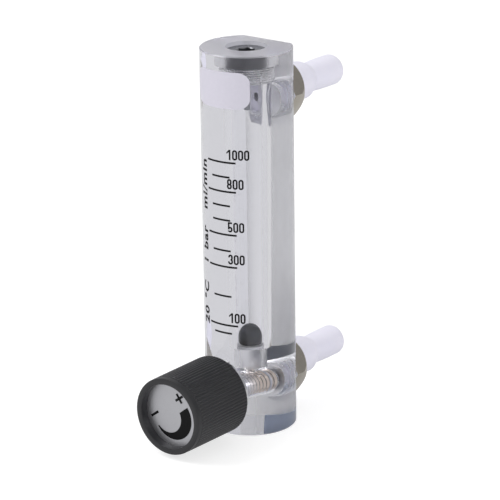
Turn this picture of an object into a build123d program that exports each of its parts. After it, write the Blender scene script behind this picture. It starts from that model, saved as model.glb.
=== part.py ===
from build123d import *
import math
import os

# A panel flow meter for gas: a clear acrylic bar with a tapered bore and a float,
# a needle valve with a black knob at the front, and two hose nozzles at the back.
# Millimetres. The origin is the centre of the bar's foot, +Z is up, the knob looks
# towards -Y and the nozzles towards +Y.

# Acrylic bar
bar_radius = 12.7
bar_height = 108.0
bar_edge = 0.3            # chamfer on the two end edges
back_flat = 9.4           # distance of the milled back flat from the bar's axis

# Clearances
sliding_gap = 0.05        # pieces that turn or slide in one another
seat_gap = 0.02           # pieces that are screwed together and stand still
thread_gap = 0.04         # radial play between a screw and its tapped hole
cut_over = 1.0            # how far a cut runs past the face it opens

# Levels along the bar
valve_level = 12.5        # axis of the valve and of the inlet nozzle
outlet_depth = 14.6       # from the bar's top down to the outlet's axis
seat_level = 23.9         # top of the seat that the float rests on

# Tapered bore, float and their stops
bore_radius_low = 3.84
bore_radius_high = 4.36
bore_top_depth = 9.1      # from the bar's top down to the end of the taper
seat_thickness = 0.7
seat_hole = 2.4
riser_radius = 1.2        # passage from the valve up to the wide part
wide_riser_radius = 2.98  # wide part of the passage, just under the seat
wide_riser_level = 17.4
float_radius = 3.32
float_height = 5.65
float_foot_chamfer = 0.8
stop_pin_radius = 0.9
stop_pin_length = 12.5
stop_pin_bite = 3.0       # part of the pin that is held in the plug
stop_pin_round = 0.3

# Screw plug in the top
plug_recess = 1.0
head_radius = 5.6
head_thickness = 2.65
head_edge = 0.2
head_pocket_gap = 0.1     # radial room round the head
pocket_depth = 4.7
plug_thread = 4.75
plug_shank = 3.9
hex_socket = 4.4          # across flats
hex_socket_depth = 2.6

# Hose nozzles
stem_radius = 4.9
stem_depth = 4.2          # length of the stem in the bar
stem_hole_depth = 5.3
nozzle_radius = 4.36
nozzle_reach = 39.9       # tip, from the bar's axis
nozzle_bore = 2.1
nozzle_tip_round = 2.0
collar_radius = 5.35
collar_length = 8.25
collar_slope = 2.4
stem_ring_section = 0.95
stem_ring_room = 0.1      # from the ring to the wall of its hole

# Hexagon nuts on the stems
nut_flats = 16.4          # two flats lie level, one above and one below
nut_thickness = 6.35
nut_face_radius = 7.9     # circle that the chamfer leaves on the outer face
nut_chamfer_rise = 2.4

# Valve cartridge
cartridge_radius = 3.7
cartridge_hole_end = 3.8
cartridge_wall = 0.1      # from the cartridge's end to the end of its hole
flange_radius = 8.8
flange_thickness = 1.6
flange_room = 0.5         # radial room round the flange
face_cut = 0.3            # flat milled on the bar's front for the flange
neck_radius = 5.0
neck_length = 1.5         # part of the neck in front of the lock ring
ring_gap = 0.35           # slot between the flange and the lock ring
ring_thickness = 1.75
ring_edge = 0.3
groove_start = -1.8
groove_end = 1.0
groove_radius = 2.8
land_groove_start = 1.35
land_groove_end = 2.45
land_groove_radius = 3.0
spindle_radius = 2.45
chamber_radius = 1.4
chamber_start = -2.0
orifice_start = 1.6
orifice_radius = 0.62
cross_hole_radius = 0.6
cross_hole_place = -0.4

# Spindle and needle
needle_pin_radius = 1.0
spindle_shoulder = -4.0
needle_start = -2.0
needle_end = 1.9
needle_tip_radius = 0.25
spindle_room = 0.25       # from the spindle's end to the knob's web
seal_place = -6.6
seal_groove_radius = 1.5
seal_groove_width = 1.3
seal_section = 0.94

# Knob
knob_length = 21.4
knob_room = 3.1           # from the flange's seat to the knob's rear edge
knob_rear_radius = 11.05
knob_front_radius = 10.85
knob_wall = 1.05          # from the foot of the grooves to the hollow
grip_ridges = 75
ridge_depth = 0.3
knob_bevel = 0.3
plain_rim = 1.6           # smooth band in front of the ridges
rim_radius = 9.1          # opening in front of the label
label_depth = 2.45        # from the knob's front to the label
web_thickness = 2.3
hub_radius = 4.3
hub_length = 11.25
label_thickness = 0.3
ink = 0.06

# Marks on the knob's label
marks_radius = 6.38
marks_drop = 0.9          # the print sits a little low on the disc
marks_turn = 36           # degrees, the whole print is turned anticlockwise
sign_angle = 57           # from the print's top to the plus and to the minus
sign_length = 3.0
sign_stroke = 0.68
crescent_radius = 4.55
crescent_shift = 1.75
crescent_lean = 30        # degrees, direction of the shift above the level line
crescent_half_angle = 92

# Screw that holds the knob on the spindle
screw_radius = 1.25
screw_length = 6.0
screw_head_radius = 2.4
screw_head_thickness = 1.5
screw_slot_width = 0.7
screw_slot_depth = 0.6

# Scale printed on the bar; each mark has its place as a share of the taper's length
scale_turn = 2.0          # degrees from the bar's front towards +X
long_mark_angle = 42.2
short_mark_angle = 26.0
mark_width = 0.5
long_marks = {1000: 0.732, 800: 0.6235, 500: 0.4624, 300: 0.3408, 100: 0.1176}
short_marks = [0.6777, 0.5707, 0.5165, 0.4016, 0.2285, 0.0872]
digit_height = 2.85
digit_width = 1.42
digit_advance = 1.64
digit_stroke = 0.46
bowl_share = 0.55         # height of the lower bowl of 3, 5 and 8
upper_share = 0.92        # width of the upper bowl of 3 and 8
beam_share = 0.86         # width of the top stroke of 5
mouth_share = 0.4         # height of the gap at the left of 3 and 5
flag_drop = 1.6           # how far the flag of 1 drops, in strokes
flag_notch = 1.3
digit_start_angle = 11.4  # left edge of the numbers
digit_rise = 0.85         # from a mark's middle to the foot of its number

# Blank label wrapped round the bar's upper front
label_drop = 4.3          # from the bar's top down to the label
label_height = 10.1
label_turn = 0.6          # degrees from the bar's front towards +X
label_angle = 81.7
label_corner = 2.8
film = 0.12

# Worked out
outlet_level = bar_height - outlet_depth
bore_top = bar_height - bore_top_depth
bore_foot = seat_level - seat_thickness
head_top = bar_height - plug_recess
head_foot = head_top - head_thickness
pocket_foot = bar_height - pocket_depth
plug_foot = head_foot - plug_shank
stem_hole_end = back_flat - stem_hole_depth
stem_end = back_flat - stem_depth
nut_end = back_flat + nut_thickness
flange_rear = -(bar_radius - face_cut)
flange_front = flange_rear - flange_thickness
ring_rear = flange_front - ring_gap
ring_front = ring_rear - ring_thickness
neck_front = ring_front - neck_length
cartridge_end = cartridge_hole_end - cartridge_wall
knob_rear = flange_rear - knob_room
knob_front = knob_rear - knob_length
label_face = knob_front + label_depth
web_front = label_face + label_thickness
web_rear = web_front + web_thickness
hub_rear = web_rear + hub_length
spindle_end = web_rear + spindle_room
label_high = bar_height - label_drop
label_low = label_high - label_height


def turned(points, level):
    """Solid turned about a line along Y at a level; points are (y, radius)."""
    outline = Polyline(*[(radius, y) for y, radius in points], close=True)
    return Pos(0, 0, level) * revolve(make_face(outline), Axis.Y)


def rod(radius, start, end, level):
    """Round rod along Y."""
    return turned([(start, 0), (start, radius), (end, radius), (end, 0)], level)


def pillar(radius, foot, top):
    """Round rod along Z on the bar's axis."""
    return Pos(0, 0, foot) * Cylinder(radius, top - foot, align=(Align.CENTER, Align.CENTER, Align.MIN))


def pillar_cone(radius_foot, radius_top, foot, top):
    """Tapered round rod along Z on the bar's axis."""
    height = top - foot
    cone = Cone(radius_foot, radius_top, height, align=(Align.CENTER, Align.CENTER, Align.MIN))
    return Pos(0, 0, foot) * cone


def bore_radius(level):
    """Radius of the tapered bore at a level."""
    share = (level - bore_foot) / (bore_top - bore_foot)
    return bore_radius_low + share * (bore_radius_high - bore_radius_low)


def seal_ring(middle_radius, section, place, level):
    """O-ring about a line along Y."""
    return Pos(0, place, level) * Rot(90, 0, 0) * Torus(middle_radius, section / 2)


def shell_patch(start_angle, end_angle, foot, top, thickness):
    """Piece of a thin shell on the bar; angles run from the front towards +X."""
    ring = pillar(bar_radius + thickness, foot, top) - pillar(bar_radius, foot, top)
    reach = bar_radius * 2
    corners = [(0, 0)]
    steps = 4
    for step in range(steps + 1):
        angle = math.radians(start_angle + (end_angle - start_angle) * step / steps)
        corners.append((reach * math.sin(angle), -reach * math.cos(angle)))
    wedge = Pos(0, 0, foot) * extrude(make_face(Polyline(*corners, close=True)), top - foot)
    return ring & wedge


def tube_body():
    """Clear bar with its bores, tapped holes and flats."""
    body = pillar(bar_radius, 0, bar_height)
    body = chamfer(body.edges().filter_by(GeomType.CIRCLE), bar_edge)
    flat_depth = bar_radius - back_flat
    flat = Box(3 * bar_radius, flat_depth, 2 * bar_height)
    body -= Pos(0, back_flat + flat_depth / 2, bar_height / 2) * flat
    body -= rod(flange_radius + flange_room, -bar_radius - cut_over, flange_rear, valve_level)
    body -= pillar_cone(bore_radius_low, bore_radius_high, bore_foot, bore_top)
    body -= pillar(plug_thread + thread_gap, bore_top, bar_height)
    body -= pillar(head_radius + head_pocket_gap, pocket_foot, bar_height)
    body -= pillar(riser_radius, valve_level, wide_riser_level)
    body -= pillar(wide_riser_radius, wide_riser_level, bore_foot)
    body -= rod(cartridge_radius + thread_gap, -bar_radius - cut_over, cartridge_hole_end, valve_level)
    for level in (valve_level, outlet_level):
        body -= rod(stem_radius + thread_gap, stem_hole_end, bar_radius, level)
        body -= rod(riser_radius, 0, stem_hole_end, level)
    return body


def top_plug():
    """Turned steel plug with a hexagon socket and a hole for the stop pin."""
    plug = pillar(head_radius, head_foot, head_top)
    plug = chamfer(plug.edges().filter_by(GeomType.CIRCLE), head_edge)
    plug += pillar(plug_thread, plug_foot, head_foot)
    socket = RegularPolygon(hex_socket / 2, 6, major_radius=False)
    plug -= Pos(0, 0, head_top - hex_socket_depth) * extrude(socket, hex_socket_depth)
    plug -= pillar(stop_pin_radius + seat_gap, plug_foot, plug_foot + stop_pin_bite)
    return plug


def top_plug_ring():
    """Rubber ring squeezed between the plug's head and the foot of its pocket."""
    ring = pillar(head_radius + head_pocket_gap - seat_gap, pocket_foot, head_foot)
    return ring - pillar(plug_thread + seat_gap, pocket_foot, head_foot)


def float_stop_pin():
    """Steel pin under the plug that stops the float below the outlet."""
    top = plug_foot + stop_pin_bite - seat_gap
    pin = pillar(stop_pin_radius, top - stop_pin_length, top)
    return fillet(pin.edges().filter_by(GeomType.CIRCLE), stop_pin_round)


def float_seat():
    """Ring at the foot of the taper that the float rests on."""
    radius = bore_radius(bore_foot) - seat_gap
    ring = pillar(radius, bore_foot, seat_level)
    return ring - pillar(seat_hole, bore_foot, seat_level)


def float_body():
    """Steel float: a straight skirt with a chamfered foot under a round dome."""
    foot = seat_level + seat_gap
    top = foot + float_height
    shoulder = top - float_radius
    skirt = pillar(float_radius, foot, shoulder)
    dome = Pos(0, 0, shoulder) * Sphere(float_radius)
    solid = (skirt + dome) & pillar(2 * float_radius, foot, top)
    foot_edge = solid.edges().filter_by(GeomType.CIRCLE).sort_by(Axis.Z)[0]
    return chamfer(foot_edge, float_foot_chamfer)


def nozzle(level):
    """Nylon hose nozzle: threaded stem, collar, smooth barrel and through bore."""
    collar_end = nut_end + collar_length
    slope_end = collar_end + collar_slope
    solid = turned([
        (stem_end, 0),
        (stem_end, stem_radius),
        (nut_end, stem_radius),
        (nut_end, collar_radius),
        (collar_end, collar_radius),
        (slope_end, nozzle_radius),
        (nozzle_reach, nozzle_radius),
        (nozzle_reach, 0),
    ], level)
    tip = solid.edges().filter_by(GeomType.CIRCLE).sort_by(Axis.Y)[-1]
    solid = fillet(tip, nozzle_tip_round)
    solid -= rod(nozzle_bore, stem_end, nozzle_reach, level)
    return solid


def nozzle_seal(level):
    """Rubber ring between the stem's end and the foot of its hole."""
    middle = stem_radius - stem_ring_section / 2 - stem_ring_room
    place = (stem_hole_end + stem_end) / 2
    return seal_ring(middle, stem_ring_section, place, level)


def nozzle_nut(level):
    """Hexagon nut with its outer face chamfered."""
    prism = extrude(RegularPolygon(nut_flats / 2, 6, major_radius=False), nut_thickness)
    nut = Pos(0, nut_end, level) * Rot(90, 0, 0) * prism
    corner = nut_flats / math.sqrt(3)
    nut &= turned([
        (back_flat, 0),
        (back_flat, corner),
        (nut_end - nut_chamfer_rise, corner),
        (nut_end, nut_face_radius),
        (nut_end, 0),
    ], level)
    return nut - rod(stem_radius + thread_gap, back_flat, nut_end, level)


def valve_cartridge():
    """Brass cartridge: flange, threaded body, cross hole, seal land and orifice."""
    solid = turned([
        (neck_front, 0),
        (neck_front, neck_radius),
        (flange_front, neck_radius),
        (flange_front, flange_radius),
        (flange_rear, flange_radius),
        (flange_rear, cartridge_radius),
        (groove_start, cartridge_radius),
        (groove_start, groove_radius),
        (groove_end, groove_radius),
        (groove_end, cartridge_radius),
        (land_groove_start, cartridge_radius),
        (land_groove_start, land_groove_radius),
        (land_groove_end, land_groove_radius),
        (land_groove_end, cartridge_radius),
        (cartridge_end, cartridge_radius),
        (cartridge_end, 0),
    ], valve_level)
    solid -= turned([
        (neck_front, 0),
        (neck_front, spindle_radius + sliding_gap),
        (chamber_start, spindle_radius + sliding_gap),
        (chamber_start, chamber_radius),
        (orifice_start, chamber_radius),
        (orifice_start, orifice_radius),
        (cartridge_end, orifice_radius),
        (cartridge_end, 0),
    ], valve_level)
    cross = Pos(0, cross_hole_place, valve_level) * Cylinder(
        cross_hole_radius, cartridge_radius, align=(Align.CENTER, Align.CENTER, Align.MIN))
    return solid - cross


def cartridge_seal():
    """Rubber ring in the groove at the cartridge's inner end."""
    section = cartridge_radius - land_groove_radius
    place = (land_groove_start + land_groove_end) / 2
    return seal_ring((cartridge_radius + land_groove_radius) / 2, section - seat_gap, place, valve_level)


def lock_ring():
    """Plated ring screwed on the cartridge's neck in front of the flange."""
    ring = rod(flange_radius, ring_front, ring_rear, valve_level)
    ring = chamfer(ring.edges().filter_by(GeomType.CIRCLE), ring_edge)
    return ring - rod(neck_radius + thread_gap, ring_front, ring_rear, valve_level)


def spindle():
    """Steel spindle with a needle, a seal groove and a tapped end for the knob."""
    half_groove = seal_groove_width / 2
    solid = turned([
        (spindle_end, 0),
        (spindle_end, spindle_radius),
        (seal_place - half_groove, spindle_radius),
        (seal_place - half_groove, seal_groove_radius),
        (seal_place + half_groove, seal_groove_radius),
        (seal_place + half_groove, spindle_radius),
        (spindle_shoulder, spindle_radius),
        (spindle_shoulder, needle_pin_radius),
        (needle_start, needle_pin_radius),
        (needle_end, needle_tip_radius),
        (needle_end, 0),
    ], valve_level)
    return solid - rod(screw_radius + seat_gap, spindle_end, web_front + screw_length, valve_level)


def spindle_seal():
    """Rubber ring that slides with the spindle."""
    middle = (spindle_radius + seal_groove_radius) / 2
    return seal_ring(middle, seal_section, seal_place, valve_level)


def ridged_outline(radius):
    """Outline of the grip: a ring of small ridges."""
    points = []
    for index in range(2 * grip_ridges):
        angle = math.pi * index / grip_ridges
        reach = radius - ridge_depth * (index % 2)
        points.append((reach * math.cos(angle), reach * math.sin(angle)))
    return make_face(Polyline(*points, close=True))


def knob():
    """Hollow black knob with fine ridges, a bevelled rim, a web and a hub."""
    length = knob_rear - knob_front
    rear = Plane((0, knob_rear, valve_level), x_dir=(1, 0, 0), z_dir=(0, -1, 0))
    front = rear.offset(length)
    grip = loft([rear * ridged_outline(knob_rear_radius), front * ridged_outline(knob_front_radius)])
    rim_start = knob_front + plain_rim
    foot_radius = knob_front_radius - ridge_depth
    envelope = turned([
        (knob_rear, 0),
        (knob_rear, knob_rear_radius - ridge_depth),
        (knob_rear - ridge_depth, knob_rear_radius + ridge_depth),
        (rim_start + ridge_depth, knob_rear_radius + ridge_depth),
        (rim_start, foot_radius),
        (knob_front + knob_bevel, foot_radius),
        (knob_front, foot_radius - knob_bevel),
        (knob_front, 0),
    ], valve_level)
    solid = grip & envelope
    rear_room = knob_rear_radius - ridge_depth - knob_wall
    front_room = foot_radius - knob_wall
    solid -= turned([
        (knob_rear, 0),
        (knob_rear, rear_room),
        (web_rear, front_room),
        (web_rear, 0),
    ], valve_level)
    solid += rod(hub_radius, web_rear, hub_rear, valve_level)
    solid -= rod(rim_radius, knob_front, web_front, valve_level)
    solid -= rod(spindle_radius + seat_gap, spindle_end - seat_gap, hub_rear, valve_level)
    solid -= rod(screw_radius + thread_gap, web_front, spindle_end, valve_level)
    head_room = screw_head_thickness + seat_gap
    solid -= rod(screw_head_radius + thread_gap, web_front, web_front + head_room, valve_level)
    return solid


def knob_screw():
    """Slotted screw that holds the knob on the spindle, under the label."""
    head_end = web_front + screw_head_thickness
    solid = rod(screw_head_radius, web_front, head_end, valve_level)
    solid += rod(screw_radius, head_end, web_front + screw_length - seat_gap, valve_level)
    slot = Box(3 * screw_head_radius, 2 * screw_slot_depth, screw_slot_width)
    return solid - Pos(0, web_front, valve_level) * slot


def knob_label():
    """Satin aluminium disc in the knob's recess."""
    return rod(rim_radius - seat_gap, label_face, web_front, valve_level)


def knob_marks():
    """Plus, minus and a crescent that grows towards the plus, printed on the disc."""
    def sign_place(angle):
        turn = math.radians(90 + angle)
        return Pos(marks_radius * math.cos(turn), marks_radius * math.sin(turn))
    bar = Rectangle(sign_length, sign_stroke)
    minus = sign_place(sign_angle) * bar
    plus = sign_place(-sign_angle) * (bar + Rectangle(sign_stroke, sign_length))
    lean = math.radians(180 - crescent_lean)
    shift = Pos(crescent_shift * math.cos(lean), crescent_shift * math.sin(lean))
    crescent = Circle(marks_radius) - shift * Circle(crescent_radius)
    reach = 3 * marks_radius
    half = math.radians(crescent_half_angle)
    gap = [(0, 0), (reach * math.sin(half), -reach * math.cos(half)), (reach, reach),
           (-reach, reach), (-reach * math.sin(half), -reach * math.cos(half))]
    crescent -= make_face(Polyline(*gap, close=True))
    print_plane = Plane((0, label_face, valve_level - marks_drop), x_dir=(1, 0, 0), z_dir=(0, -1, 0))
    flat_marks = Rot(0, 0, marks_turn) * (minus + plus + crescent)
    return extrude(print_plane * flat_marks, ink)


def mark_level(share):
    """Level of a mark from its share of the taper's length."""
    return bore_foot + share * (bore_top - bore_foot)


def mark_angle(half_span):
    """First and last angle of a mark, from the front towards +X."""
    return scale_turn - half_span, scale_turn + half_span


def scale_marks():
    """Long and short marks of the flow scale."""
    marks = []
    for span, shares in ((long_mark_angle, long_marks.values()), (short_mark_angle, short_marks)):
        start, end = mark_angle(span / 2)
        for share in shares:
            foot = mark_level(share) - mark_width / 2
            marks += shell_patch(start, end, foot, foot + mark_width, ink).solids()
    return Compound(marks)


def loop_shape(width, height):
    """Rounded loop of one pen stroke, the form of a zero."""
    outer = RectangleRounded(width, height, width / 2 - seat_gap)
    inner_width = width - 2 * digit_stroke
    return outer - RectangleRounded(inner_width, height - 2 * digit_stroke, inner_width / 2 - seat_gap)


def digit(figure):
    """Flat outline of one figure, centred, as tall as digit_height."""
    half_height = digit_height / 2
    half_width = digit_width / 2
    if figure == "0":
        return loop_shape(digit_width, digit_height)
    if figure == "1":
        stem_right = digit_stroke
        flag_top = half_height - flag_drop * digit_stroke
        outline = Polyline((stem_right, -half_height), (stem_right, half_height), (0, half_height),
                           (-half_width, flag_top), (-half_width, flag_top - digit_stroke),
                           (0, half_height - flag_notch * digit_stroke), (0, -half_height), close=True)
        return make_face(outline)
    low_height = bowl_share * digit_height
    top_height = digit_height - low_height + digit_stroke
    low_loop = Pos(0, low_height / 2 - half_height) * loop_shape(digit_width, low_height)
    if figure == "5":
        shoulder = low_height - half_height - low_height / 2
        mouth = Pos(-half_width, shoulder) * Rectangle(digit_width, mouth_share * low_height)
        beam_width = beam_share * digit_width
        beam = Pos(0, half_height - digit_stroke / 2) * Rectangle(beam_width, digit_stroke)
        side_height = half_height - shoulder
        side_place = Pos((digit_stroke - beam_width) / 2, shoulder + side_height / 2)
        side = side_place * Rectangle(digit_stroke, side_height)
        return (low_loop - mouth) + beam + side
    top_loop = Pos(0, half_height - top_height / 2) * loop_shape(upper_share * digit_width, top_height)
    if figure == "8":
        return top_loop + low_loop
    mouth = Pos(-half_width, 0) * Rectangle(digit_width, mouth_share * digit_height)
    return (top_loop + low_loop) - mouth


def scale_numbers():
    """Numbers beside the long marks, wrapped on the bar."""
    skin = pillar(bar_radius + ink, 0, bar_height) - pillar(bar_radius, 0, bar_height)
    figures = []
    for number, share in long_marks.items():
        for place, figure in enumerate(str(number)):
            arc = digit_width / 2 + place * digit_advance
            angle = digit_start_angle + math.degrees(arc / bar_radius)
            middle = mark_level(share) + digit_rise + digit_height / 2
            stamp = extrude(Plane.XZ * digit(figure), bar_radius + cut_over)
            stamp = Rot(0, 0, angle) * Pos(0, 0, middle) * stamp
            figures += (stamp & skin).solids()
    return Compound(figures)


def blank_label():
    """Plain film wrapped round the bar, with rounded corners."""
    width = 2 * (bar_radius + film) * math.sin(math.radians(label_angle / 2))
    sheet = RectangleRounded(width, label_high - label_low, label_corner)
    stamp = extrude(Plane.XZ * sheet, bar_radius + cut_over)
    stamp = Rot(0, 0, label_turn) * Pos(0, 0, (label_low + label_high) / 2) * stamp
    skin = pillar(bar_radius + film, 0, bar_height) - pillar(bar_radius, 0, bar_height)
    return stamp & skin


nodes = {
    "tube_body": tube_body(),
    "top_plug": top_plug(),
    "top_plug_seal": top_plug_ring(),
    "float_stop_pin": float_stop_pin(),
    "float_seat": float_seat(),
    "float": float_body(),
    "inlet_nozzle": nozzle(valve_level),
    "inlet_nut": nozzle_nut(valve_level),
    "inlet_seal": nozzle_seal(valve_level),
    "outlet_nozzle": nozzle(outlet_level),
    "outlet_nut": nozzle_nut(outlet_level),
    "outlet_seal": nozzle_seal(outlet_level),
    "valve_cartridge": valve_cartridge(),
    "cartridge_seal": cartridge_seal(),
    "valve_lock_ring": lock_ring(),
    "valve_spindle": spindle(),
    "spindle_seal": spindle_seal(),
    "knob": knob(),
    "knob_screw": knob_screw(),
    "knob_label": knob_label(),
    "knob_marks": knob_marks(),
    "scale_marks": scale_marks(),
    "scale_numbers": scale_numbers(),
    "blank_label": blank_label(),
}

os.makedirs("parts", exist_ok=True)
for name, shape in nodes.items():
    export_step(shape, f"parts/{name}.step")
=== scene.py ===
import math

import bmesh
import bpy
from bpy.props import FloatProperty, FloatVectorProperty, IntProperty, PointerProperty, StringProperty
from mathutils import Matrix, Vector


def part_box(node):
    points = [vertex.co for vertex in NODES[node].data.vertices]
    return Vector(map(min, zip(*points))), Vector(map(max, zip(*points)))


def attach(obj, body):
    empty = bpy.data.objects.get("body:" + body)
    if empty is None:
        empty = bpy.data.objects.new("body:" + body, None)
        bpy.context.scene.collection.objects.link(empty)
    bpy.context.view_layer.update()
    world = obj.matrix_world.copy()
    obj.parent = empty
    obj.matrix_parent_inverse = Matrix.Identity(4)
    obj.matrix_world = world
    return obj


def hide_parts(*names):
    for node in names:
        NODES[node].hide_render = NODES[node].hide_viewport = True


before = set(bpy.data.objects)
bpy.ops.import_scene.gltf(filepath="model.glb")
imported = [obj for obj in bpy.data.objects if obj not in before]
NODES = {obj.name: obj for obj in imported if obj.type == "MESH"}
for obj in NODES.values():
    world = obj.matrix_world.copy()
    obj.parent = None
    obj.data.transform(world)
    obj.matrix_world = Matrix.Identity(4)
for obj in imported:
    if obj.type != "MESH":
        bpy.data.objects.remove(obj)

bl_info = {
    "name": "Panel flow meter for gas",
    "version": (1, 0, 0),
    "blender": (4, 5, 0),
    "location": "3D View > Sidebar > Flow meter",
    "description": "Builds the looks of a clear acrylic flow meter round its CAD frame",
    "category": "Object",
}

MM = 0.001

# Sizes that several pieces share, in millimetres; levels are up from the foot, along the bar's axis

BAR_RADIUS = 12.7
BAR_TOP = 108.0
BACK_FLAT = 9.4
VALVE_LEVEL = 12.5
OUTLET_LEVEL = 93.4
# the valve's pocket and thread, along Y
POCKET_FRONT = -14.0
POCKET_FLOOR = -12.4
THREAD_END = 3.6
# radii of the holes that the plug and the nozzles' stems screw into
PLUG_HOLE = 4.79
STEM_HOLE = 4.94
# air between a nut and the bar's flat
NUT_GAP = 0.03

# Small tools


def lo(node):
    """Lowest corner of a CAD node in millimetres."""
    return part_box(node)[0] / MM


def hi(node):
    """Highest corner of a CAD node in millimetres."""
    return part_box(node)[1] / MM


def upright(node):
    """Foot, top and radius of a CAD node that is turned about the bar's axis, in millimetres."""
    return lo(node).z, hi(node).z, hi(node).x


def channels(code):
    """Red, green and blue of a hex code such as C0C0C4, from 0 to 255."""
    return [int(code[i:i + 2], 16) for i in (0, 2, 4)]


def linear(code):
    """Linear colour from an sRGB hex code."""
    shares = [channel / 255 for channel in channels(code)]
    return [c / 12.92 if c <= 0.04045 else ((c + 0.055) / 1.055) ** 2.4 for c in shares] + [1.0]


def raised(code, steps):
    """Hex code with each channel some steps lighter, up to white."""
    return "".join(f"{min(255, channel + steps):02X}" for channel in channels(code))


def add_node(tree, kind, links=(), **values):
    """Adds a node; values name its properties or inputs, and links pair an input with a socket or a value."""
    node = tree.nodes.new(kind)
    for name, value in values.items():
        if name in node.bl_rna.properties:
            setattr(node, name, value)
        else:
            node.inputs[name.replace("_", " ")].default_value = value
    for name, source in links:
        if isinstance(source, bpy.types.NodeSocket):
            tree.links.new(source, node.inputs[name])
        else:
            node.inputs[name].default_value = source
    return node


def formula(tree, term):
    """Socket that holds a sum written as nested tuples, such as ("ADD", a, ("MULTIPLY", b, 2.0))."""
    if not isinstance(term, tuple):
        return term
    operation, *parts = term
    sources = [formula(tree, part) for part in parts]
    return add_node(tree, "ShaderNodeMath", enumerate(sources), operation=operation).outputs[0]


def mesh_object(name, bm):
    """Object in the scene with the mesh of a bmesh, which is used up."""
    mesh = bpy.data.meshes.new(name)
    bm.to_mesh(mesh)
    bm.free()
    obj = bpy.data.objects.new(name, mesh)
    bpy.context.scene.collection.objects.link(obj)
    return obj


def solid_object(name, bm):
    """Object from a closed bmesh, with its faces turned outwards."""
    bmesh.ops.recalc_face_normals(bm, faces=bm.faces)
    return mesh_object(name, bm)


def rod(start, end, radius):
    """Profile of a plain round bar."""
    return [(start, 0), (start, radius), (end, radius), (end, 0)]


def quarter(along, across, radius, steps):
    """Profile of a quarter round about a point, from its widest place to its end."""
    angles = [math.pi / 2 * i / steps for i in range(steps + 1)]
    return [(along + radius * math.sin(a), across + radius * math.cos(a)) for a in angles]


def lathe(name, profile, segments, axis="Z", level=0.0, closed=False):
    """Solid of revolution from (along, radius) points in millimetres, about Z or about a line along Y."""
    bm = bmesh.new()
    rings = []
    for along, radius in profile:
        if radius < 1e-6:
            circle = [(0.0, 0.0)]
        else:
            turns = [2 * math.pi * i / segments for i in range(segments)]
            circle = [(radius * math.cos(t), radius * math.sin(t)) for t in turns]
        ring = []
        for a, b in circle:
            spot = (a, b, along) if axis == "Z" else (a, along, level + b)
            ring.append(bm.verts.new(Vector(spot) * MM))
        rings.append(ring)
    pairs = list(zip(rings, rings[1:]))
    if closed:
        pairs.append((rings[-1], rings[0]))
    for one, two in pairs:
        for i in range(segments):
            j = (i + 1) % segments
            corners = [one[i % len(one)], one[j % len(one)], two[j % len(two)], two[i % len(two)]]
            corners = list(dict.fromkeys(corners))
            if len(corners) > 2:
                bm.faces.new(corners)
    return solid_object(name, bm)


def smooth(obj, degrees=30):
    """Smooth shading with sharp edges where the surface turns by more than the angle."""
    obj.data.polygons.foreach_set("use_smooth", [True] * len(obj.data.polygons))
    obj.data.set_sharp_from_angle(angle=math.radians(degrees))
    obj.data.update()


def bake(obj):
    """Turns what the modifiers give into the object's plain mesh."""
    bpy.context.view_layer.update()
    graph = bpy.context.evaluated_depsgraph_get()
    mesh = bpy.data.meshes.new_from_object(obj.evaluated_get(graph), depsgraph=graph)
    mesh.name = obj.name
    old = obj.data
    obj.modifiers.clear()
    obj.data = mesh
    bpy.data.meshes.remove(old)
    return obj


def mend(mesh):
    """Joins the points that a boolean leaves within a thousandth of a millimetre of each other."""
    bm = bmesh.new()
    bm.from_mesh(mesh)
    bmesh.ops.remove_doubles(bm, verts=bm.verts, dist=1e-6)
    bmesh.ops.dissolve_degenerate(bm, edges=bm.edges, dist=1e-6)
    bm.to_mesh(mesh)
    bm.free()


def combine(obj, tool, operation):
    """Exact boolean of obj with tool; the tool is used up."""
    modifier = obj.modifiers.new(operation.lower(), "BOOLEAN")
    modifier.operation = operation
    modifier.solver = "EXACT"
    modifier.material_mode = "TRANSFER"
    modifier.object = tool
    bake(obj)
    mend(obj.data)
    mesh = tool.data
    bpy.data.objects.remove(tool)
    bpy.data.meshes.remove(mesh)
    return obj


def cut(obj, profile, segments, axis="Z", level=0.0, finish=None):
    """Cuts a turned tool out of a piece; the cut wears the tool's finish, where it has one."""
    tool = lathe("tool", profile, segments, axis, level)
    if finish:
        dress(tool, MATERIALS[finish])
    return combine(obj, tool, "DIFFERENCE")


def soft_edges(obj, width, segments=2, degrees=30):
    """Rounds the sharp edges of a rigid piece by a width in millimetres."""
    modifier = obj.modifiers.new("edges", "BEVEL")
    modifier.width = width * MM
    modifier.segments = segments
    modifier.limit_method = "ANGLE"
    modifier.angle_limit = math.radians(degrees)
    modifier.harden_normals = False
    return bake(obj)


def rows(start, end, step):
    """Levels from start to end, about a step apart, with both ends kept."""
    count = max(1, int(round((end - start) / step)))
    return [start + (end - start) * i / count for i in range(count + 1)]


def place(obj, body, slot, *nodes):
    """Joins a finished piece to its CAD body and hides the nodes that it stands for; the slot is not used."""
    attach(obj, body)
    if nodes:
        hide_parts(*nodes)
    return obj


def dress(obj, material):
    """Gives every slot of an object one material."""
    if not obj.data.materials:
        obj.data.materials.append(material)
    for holder in obj.material_slots:
        holder.material = material


def part_finish(obj, finish, chosen):
    """Gives one more finish to the faces whose middle, in millimetres, passes a test."""
    obj.data.materials.append(MATERIALS[finish])
    for face in obj.data.polygons:
        if chosen(face.center / MM):
            face.material_index = len(obj.data.materials) - 1


# Geometry rules


def rule_tree(name, inputs):
    """Empty geometry tree with named inputs and a place for its rule."""
    tree = bpy.data.node_groups.new(name, "GeometryNodeTree")
    tree.interface.new_socket("Geometry", in_out="INPUT", socket_type="NodeSocketGeometry")
    for label, kind in inputs:
        tree.interface.new_socket(label, in_out="INPUT", socket_type=kind)
    tree.interface.new_socket("Geometry", in_out="OUTPUT", socket_type="NodeSocketGeometry")
    return tree, tree.nodes.new("NodeGroupInput"), tree.nodes.new("NodeGroupOutput")


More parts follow.
